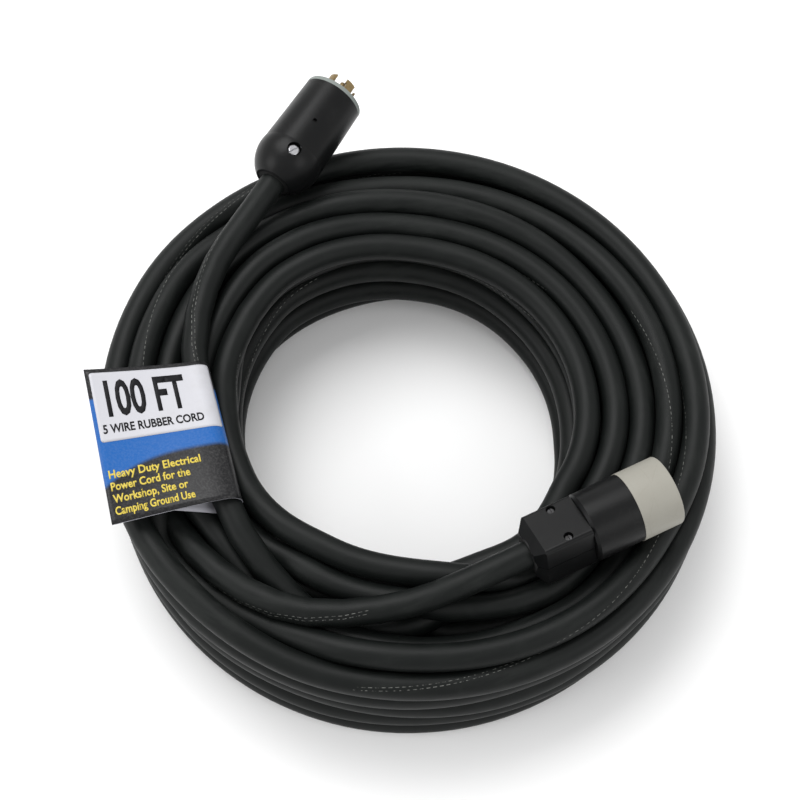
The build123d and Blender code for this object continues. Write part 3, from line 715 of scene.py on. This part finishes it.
def add_spline(name: str, points: Iterable[Vector], steps: int) -> bpy.types.Object:
    """A smooth open curve drawn towards its points, with no thickness yet."""
    curve = bpy.data.curves.new(name, "CURVE")
    curve.dimensions = "3D"
    curve.twist_mode = "MINIMUM"
    curve.resolution_u = steps
    spline = curve.splines.new("NURBS")
    listed = list(points)
    spline.points.add(len(listed) - 1)
    for knot, point in zip(spline.points, listed):
        knot.co = (*point, 1.0)
    spline.order_u = 3
    spline.use_endpoint_u = True
    spline.resolution_u = steps
    return add_object(name, curve)


def line_of(piece: bpy.types.Object) -> list[Vector]:
    """The points along a curve piece's own line."""
    depth = piece.data.bevel_depth
    piece.data.bevel_depth = 0.0
    bpy.context.view_layer.update()
    graph = bpy.context.evaluated_depsgraph_get()
    mesh = bpy.data.meshes.new_from_object(piece.evaluated_get(graph))
    points = [vertex.co.copy() for vertex in mesh.vertices]
    bpy.data.meshes.remove(mesh)
    piece.data.bevel_depth = depth
    return points


# ================================================================ the cord
@dataclass
class Cord:
    """The whole cord: one line from the plug, round the coil and on to the connector."""

    length: float = 30.48
    diameter: float = CORD_D * MM
    inside: float = 24.0
    steps: int = 3
    sides: int = 24
    twist: float = 1.7
    coil: Coil = field(default_factory=Coil)

    def lead(self, fitting: Fitting, start: float, points: list[Triple]) -> list[Vector]:
        """A lead's points: inside the fitting, at its rear, straight behind it, then the route's own."""
        first = [fitting.along(self.inside), fitting.along(0.0), fitting.along(-start)]
        return first + [over_coil(point) for point in points]

    def passed(self, lead: list[Vector], lap: int) -> dict[int, tuple[float, float]]:
        """Stations that a lead passes on its way over the coil.

        Args:
            lead: The lead's points.
            lap: How many laps the coil's count has made where the lead is.

        Returns:
            Radius and height in millimetres for each station's number.
        """
        guide = add_spline("lead_guide", lead, 12)
        line = line_of(guide)
        bpy.data.objects.remove(guide)
        local = [(point - SHIFT) / MM for point in line]
        angles = np.degrees(np.unwrap([math.atan2(p.y, p.x) for p in local])) % 360.0
        radii = np.array([math.hypot(p.x, p.y) for p in local])
        heights = np.array([p.z for p in local])
        order = np.argsort(angles)
        step = 360.0 / self.coil.stations
        found = {}
        for station in range(math.ceil(angles.min() / step), math.floor(angles.max() / step) + 1):
            at = station * step
            radius = float(np.interp(at, angles[order], radii[order]))
            height = float(np.interp(at, angles[order], heights[order]))
            found[station + lap * self.coil.stations] = (radius, height)
        return found

    def route(self) -> list[Vector]:
        """Every control point of the cord, in metres, from the plug to the connector."""
        start = self.lead(PLUG, PLUG_LEAD_START, PLUG_LEAD)
        end = self.lead(CONNECTOR, CONNECTOR_LEAD_START, CONNECTOR_LEAD)
        laps = len(self.coil.places) - 1
        held = self.passed(start[1:], 0) | self.passed(end[1:], laps)
        turns = [point * MM + SHIFT for point in self.coil.settle(held)]
        return start + turns + end[::-1]

    def build(self) -> bpy.types.Object:
        """Make the cord's tube along its smooth line, with its own UV map."""
        guide = add_spline("cord_line", self.route(), self.steps)
        line = line_of(guide)
        mesh = self.tube(guide, line)
        bpy.data.objects.remove(guide)
        cord = finished(add_object("cord", mesh), "cord_set", "cord_jacket", Finish.CORD_JACKET)
        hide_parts("cord_coil", "cord_plug_lead", "cord_connector_lead")
        run = sum((b - a).length for a, b in zip(line, line[1:]))
        LOG.info("cord: %.2f m along its middle, %d faces", run, len(mesh.polygons))
        return cord

    def tube(self, guide: bpy.types.Object, line: list[Vector]) -> bpy.types.Mesh:
        """Thicken the cord's line and give it metres along and turns around as its UV map.

        Args:
            guide: The curve piece, still without thickness.
            line: The points along its middle, one for each ring of the tube.

        Returns:
            The closed tube.
        """
        guide.data.bevel_depth = self.diameter / 2
        guide.data.bevel_resolution = self.sides // 2 - 2
        guide.data.use_fill_caps = True
        bpy.context.view_layer.update()
        graph = bpy.context.evaluated_depsgraph_get()
        mesh = bpy.data.meshes.new_from_object(guide.evaluated_get(graph))
        mesh.name = "cord"
        caps = 2 * self.sides
        corners = np.zeros(len(mesh.loops), int)
        mesh.loops.foreach_get("vertex_index", corners)
        ring, spot = np.divmod(np.maximum(corners - caps, 0), self.sides)
        steps = [(b - a).length for a, b in zip(line, line[1:])]
        travelled = np.concatenate([[0.0], np.cumsum(steps)])[ring]
        around = spot / self.sides
        wall = slice(len(corners) - 4 * (len(line) - 1) * self.sides, None)
        quads = around[wall].reshape(-1, 4)
        seam = (quads.max(1) - quads.min(1) > 0.5)[:, None] & (quads < 0.5)
        around[wall] = (quads + seam).ravel()
        around += travelled * self.twist
        layer = mesh.uv_layers[0]
        layer.data.foreach_set("uv", np.stack([travelled, around], axis=1).ravel())
        made = bmesh.new()
        made.from_mesh(mesh)
        bmesh.ops.remove_doubles(made, verts=made.verts, dist=0.00001)
        bmesh.ops.recalc_face_normals(made, faces=made.faces)
        made.to_mesh(mesh)
        made.free()
        shade_smooth(mesh)
        return mesh


# ================================================================ the label
@dataclass
class Label:
    """Folded card round the plug's lead: a loop, a printed front leaf and a back leaf under it."""

    start: float = 7.0
    shift: float = 1.6
    tilt: float = 12.0
    twist: float = 9.0
    length: float = 112.0
    width: float = 82.0
    loop_radius: float = 12.75
    pinch: float = 38.0
    back_short: float = 2.0
    thickness: float = 0.5
    rows_along: int = 28
    sticker_from: float = 3.0
    sticker_length: float = 51.0
    sticker_width: float = 91.0
    sticker_round: float = 6.0
    boldness: float = 0.026
    sticker_lift: float = 0.12
    ink_thickness: float = 0.10
    capital_height: float = 0.729
    longest_edge: float = 3.0
    slogans: tuple[str, ...] = (
        "Heavy Duty Electrical", "Power Cord for the", "Workshop, Site or", "Camping Ground Use",
    )

    def frame(self) -> Matrix:
        """The label's own frame on the lead, in millimetres: X to the hole, Y up, Z down the lead."""
        first, second = over_coil(PLUG_LEAD[1]), over_coil(PLUG_LEAD[2])
        down = (second - first).normalized()
        side = Vector((-down.y, down.x, 0.0))
        at = first + (down * self.start + side * self.shift) * MM
        frame = Matrix((side, down.cross(side), down)).transposed().to_4x4()
        lean = Matrix.Rotation(math.radians(-self.tilt), 4, "Z")
        return Matrix.Translation(at) @ frame @ lean @ Matrix.Scale(MM, 4)

    def curl(self, point: Vector) -> Vector:
        """Twist the leaves: the top of the free edge stands up and its bottom lies lower."""
        reach = max(-point.x - 4.0, 0.0) / self.width
        lean = math.tan(math.radians(self.twist)) * (1.0 - 2.0 * point.z / self.length)
        wave = 0.9 * math.sin(math.pi * point.z / self.length * 1.6 + 0.5) * reach
        return Vector((point.x, point.y + self.width * lean * reach ** 1.35 + wave, point.z))

    def wrapped(self, point: Vector) -> Vector:
        """Lay a point of the flat front leaf round the fold where it runs past the leaf's end."""
        if point.x <= 0.0:
            return point
        turn = point.x / self.loop_radius
        return Vector((math.sin(turn) * point.y, math.cos(turn) * point.y, point.z))

    def settle(self, mesh: bpy.types.Mesh) -> None:
        """Bend a mesh that was made in the label's flat frame and put it in its place."""
        frame = self.frame()
        for vertex in mesh.vertices:
            vertex.co = frame @ self.curl(vertex.co)

    def stick(self, mesh: bpy.types.Mesh) -> None:
        """Lay a flat mesh on the front leaf and the fold, then bend it with them."""
        for vertex in mesh.vertices:
            vertex.co = self.wrapped(vertex.co)
        self.settle(mesh)

    def profile(self) -> list[Vector]:
        """The card's section: back leaf, round the cord, front leaf."""
        reach = math.hypot(self.pinch, self.loop_radius)
        leave = math.atan2(self.loop_radius, -self.pinch) + math.acos(self.loop_radius / reach)
        under = self.loop_radius - self.thickness * 1.1
        back = [Vector((-self.width + self.back_short + 6.0 * k, under, 0)) for k in range(7)]
        ramp = [Vector((-self.pinch, under, 0)).lerp(self.at(leave), k / 6) for k in range(0, 6)]
        loop = [self.at(leave + (math.tau + math.pi / 2 - leave) * k / 26) for k in range(27)]
        front = [Vector((-self.width * k / 16, self.loop_radius, 0)) for k in range(1, 17)]
        return back + ramp + loop + front

    def at(self, angle: float) -> Vector:
        """A point on the loop round the cord."""
        return Vector((math.cos(angle), math.sin(angle), 0.0)) * self.loop_radius

    def card(self) -> bpy.types.Object:
        """The card, swept down the lead in rows so that it can bend."""
        made = bmesh.new()
        uv = made.loops.layers.uv.new("UVMap")
        points = self.profile()
        verts = [made.verts.new(point) for point in points]
        edges = [made.edges.new(pair) for pair in zip(verts, verts[1:])]
        run = [0.0]
        for a, b in zip(points, points[1:]):
            run.append(run[-1] + (b - a).length)
        place = {vert: spot for vert, spot in zip(verts, run)}
        for _ in range(self.rows_along):
            grown = bmesh.ops.extrude_edge_only(made, edges=edges)["geom"]
            fresh = [item for item in grown if isinstance(item, bmesh.types.BMVert)]
            edges = [item for item in grown if isinstance(item, bmesh.types.BMEdge)
                     and all(vert in set(fresh) for vert in item.verts)]
            for vert in fresh:
                joined = (edge.other_vert(vert) for edge in vert.link_edges)
                partner = next(other for other in joined if other not in fresh)
                place[vert] = place[partner]
            bmesh.ops.translate(made, verts=fresh, vec=(0, 0, self.length / self.rows_along))
        for face in made.faces:
            for loop in face.loops:
                from_fold = (run[-1] - place[loop.vert]) / self.width
                loop[uv].uv = (from_fold, loop.vert.co.z / self.length)
        made.faces.ensure_lookup_table()
        middle = Vector((-60.0, self.loop_radius, 50.0))
        front = min(made.faces, key=lambda face: (face.calc_center_median() - middle).length)
        front.normal_update()
        if front.normal.y < 0:
            bmesh.ops.reverse_faces(made, faces=made.faces)
        mesh = bpy.data.meshes.new("label_card_sheet")
        made.to_mesh(mesh)
        made.free()
        self.settle(mesh)
        shade_smooth(mesh)
        card = finished(add_object("label_card_sheet", mesh), "label", "printed_card",
                        Finish.PRINTED_CARD, Finish.CARD_INSIDE)
        wall = card.modifiers.new("thickness", "SOLIDIFY")
        wall.thickness = self.thickness * MM
        wall.offset = 0.0
        wall.material_offset = 1
        wall.material_offset_rim = 1
        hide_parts("label_card")
        return card

    def sticker(self) -> bpy.types.Object:
        """The rounded paper sticker on the upper part of the front leaf."""
        made = bmesh.new()
        left = -self.width + self.sticker_from
        bmesh.ops.create_grid(made, x_segments=44, y_segments=24, size=0.5)
        bmesh.ops.scale(made, vec=(self.sticker_width, self.sticker_length, 1), verts=made.verts)
        corners = [vert for vert in made.verts if len(vert.link_edges) == 2]
        bmesh.ops.bevel(made, geom=corners, offset=self.sticker_round, affect="VERTICES", segments=5,
                        profile=0.5, material=-1)
        middle = Vector((left + self.sticker_width / 2,
                         self.loop_radius + self.thickness / 2 + self.sticker_lift,
                         self.sticker_from + self.sticker_length / 2))
        flat = Matrix.Translation(middle) @ Matrix.Rotation(math.radians(-90), 4, "X")
        bmesh.ops.transform(made, matrix=flat, verts=made.verts)
        mesh = bpy.data.meshes.new("label_sticker_sheet")
        made.to_mesh(mesh)
        made.free()
        self.stick(mesh)
        shade_smooth(mesh)
        sticker = finished(add_object("label_sticker_sheet", mesh), "label", "white_sticker",
                           Finish.WHITE_STICKER)
        wall = sticker.modifiers.new("thickness", "SOLIDIFY")
        wall.thickness = 0.16 * MM
        wall.offset = 0.0
        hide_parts("label_sticker")
        return sticker

    def lettering(self, name: str, words: str, left: float, down: float, height: float, width: float,
                  finish: Finish, lift: float) -> bpy.types.Object:
        """A line of plain lettering printed on the label.

        Args:
            name: The piece's name.
            words: What it says.
            left: Its left end, in millimetres from the label's free edge.
            down: Its base line, in millimetres from the label's top.
            height: Height of its capitals.
            width: The width that the line is set to.
            finish: The ink.
            lift: How far the ink stands over the card's middle.

        Returns:
            The lettering as a mesh that rides with the label.
        """
        text = bpy.data.curves.new(name, "FONT")
        text.body = words
        text.offset = self.boldness
        text.extrude = 0.0
        text.resolution_u = 3
        holder = add_object(name + "_flat", text)
        bpy.context.view_layer.update()
        graph = bpy.context.evaluated_depsgraph_get()
        mesh = bpy.data.meshes.new_from_object(holder.evaluated_get(graph))
        bpy.data.objects.remove(holder)
        made = bmesh.new()
        made.from_mesh(mesh)
        bmesh.ops.remove_doubles(made, verts=made.verts, dist=0.0005)
        low = min(v.co.x for v in made.verts)
        wide = max(v.co.x for v in made.verts) - low
        bmesh.ops.translate(made, verts=made.verts, vec=(-low, 0, 0))
        bmesh.ops.scale(made, verts=made.verts, vec=(width / wide, height / self.capital_height, 1))
        bmesh.ops.triangulate(made, faces=made.faces)
        for _ in range(3):
            long = [edge for edge in made.edges if edge.calc_length() > self.longest_edge]
            if long:
                bmesh.ops.subdivide_edges(made, edges=long, cuts=1)
        bmesh.ops.triangulate(made, faces=made.faces)
        solid = bmesh.ops.extrude_face_region(made, geom=made.faces)["geom"]
        risen = [item for item in solid if isinstance(item, bmesh.types.BMVert)]
        bmesh.ops.translate(made, verts=risen, vec=(0, 0, self.ink_thickness))
        bmesh.ops.recalc_face_normals(made, faces=made.faces)
        spot = Vector((-self.width + left, self.loop_radius + lift, down))
        flat = Matrix.Translation(spot) @ Matrix.Rotation(math.radians(-90), 4, "X")
        bmesh.ops.transform(made, matrix=flat, verts=made.verts)
        made.to_mesh(mesh)
        made.free()
        mesh.name = name
        self.stick(mesh)
        return finished(add_object(name, mesh), "label", "white_sticker", finish)

    def build(self) -> list[bpy.types.Object]:
        """Make the card, its sticker and the lettering."""
        card = self.card()
        sticker = self.sticker()
        over_card = self.thickness / 2 + 0.06
        over_sticker = self.thickness / 2 + 0.24
        inks = [
            self.lettering("label_big_figures", "100 FT", 12.0, 35.5, 27.0, 59.0,
                           Finish.BLACK_INK, over_sticker),
            self.lettering("label_small_line", "5 WIRE RUBBER CORD", 6.0, 48.0, 6.4, 74.0,
                           Finish.BLACK_INK, over_sticker),
        ]
        for number, words in enumerate(self.slogans):
            inks.append(self.lettering(f"label_slogan_{number + 1}", words, 4.0, 80.0 + 8.7 * number, 6.0,
                                       3.15 * len(words), Finish.YELLOW_INK, over_card))
        LOG.info("label: card, sticker and %d lines of lettering", len(inks))
        return [card, sticker, *inks]


# ================================================================ the two fittings
@dataclass
class Fittings:
    """Plug and connector: the modelled pieces, each dressed in its slot's finish."""

    skipped: tuple[str, ...] = (
        "cord_plug_lead", "cord_connector_lead", "cord_coil", "label_card", "label_sticker",
    )

    def dress(self, frame: dict[str, Any]) -> int:
        """Give each modelled piece its finish.

        Args:
            frame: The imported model.

        Returns:
            How many pieces were dressed.
        """
        by_slot = {finish.value.name: finish for finish in Finish}
        count = 0
        for row in frame["record"]["subparts"]:
            piece = frame["nodes"][row["node"]]
            if row["node"] in self.skipped:
                continue
            piece.data.materials.clear()
            piece.data.materials.append(by_slot[row["material_slot"]].material())
            count += 1
        return count


# ================================================================ stage, light and camera
@dataclass
class Studio:
    """Pale floor, soft light from above, and a camera that looks down on the set."""

    eye: Triple = (-8.5, -529.4, 1287.4)
    target: Triple = (-8.5, 23.7, 45.0)
    lens: float = 78.5
    floor_half: float = 6.0

    def floor(self) -> None:
        """A wide pale floor."""
        made = bmesh.new()
        bmesh.ops.create_grid(made, x_segments=1, y_segments=1, size=self.floor_half)
        mesh = bpy.data.meshes.new("floor")
        made.to_mesh(mesh)
        made.free()
        graph = Graph("floor")
        speck = graph.noise(graph.place(), 6.0, 3.0)
        graph.set(Base_Color=graph.mix(speck, (0.90, 0.90, 0.90), (0.93, 0.93, 0.93)), Roughness=0.9)
        piece = add_object("floor", mesh)
        piece.data.materials.append(graph.material)

    def lamp(self, name: str, place: Triple, size: float, power: float) -> None:
        """A square soft light turned to the set."""
        light = bpy.data.lights.new(name, "AREA")
        light.size = size
        light.energy = power
        lamp = add_object(name, light)
        lamp.location = place
        lamp.rotation_euler = (Vector((0, 0, 0.05)) - Vector(place)).to_track_quat("-Z", "Y").to_euler()

    def build(self) -> None:
        """Set up the floor, the lights, the sky and the camera."""
        self.floor()
        self.lamp("light_above", (-0.6, 1.1, 2.3), 1.7, 46.0)
        self.lamp("light_left", (-2.2, -0.6, 1.4), 1.4, 18.0)
        self.lamp("light_right", (2.0, -1.2, 1.8), 1.4, 12.0)
        world = bpy.data.worlds.new("sky")
        world.use_nodes = True
        world.node_tree.nodes["Background"].inputs[0].default_value = (1.0, 1.0, 1.0, 1.0)
        world.node_tree.nodes["Background"].inputs[1].default_value = 0.85
        bpy.context.scene.world = world
        data = bpy.data.cameras.new("camera")
        data.lens = self.lens
        camera = add_object("camera", data)
        camera.location = on_set(*self.eye)
        look = on_set(*self.target) - camera.location
        camera.rotation_euler = look.to_track_quat("-Z", "Y").to_euler()
        bpy.context.scene.camera = camera
        bpy.context.scene.view_settings.view_transform = "Standard"


def main() -> None:
    """Build the set in order and report each part."""
    logging.basicConfig(level=logging.INFO, format="%(message)s")
    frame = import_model()
    Studio().build()
    Cord().build()
    Label().build()
    LOG.info("fittings: %d modelled pieces dressed", Fittings().dress(frame))


if __name__ == "__main__":
    main()
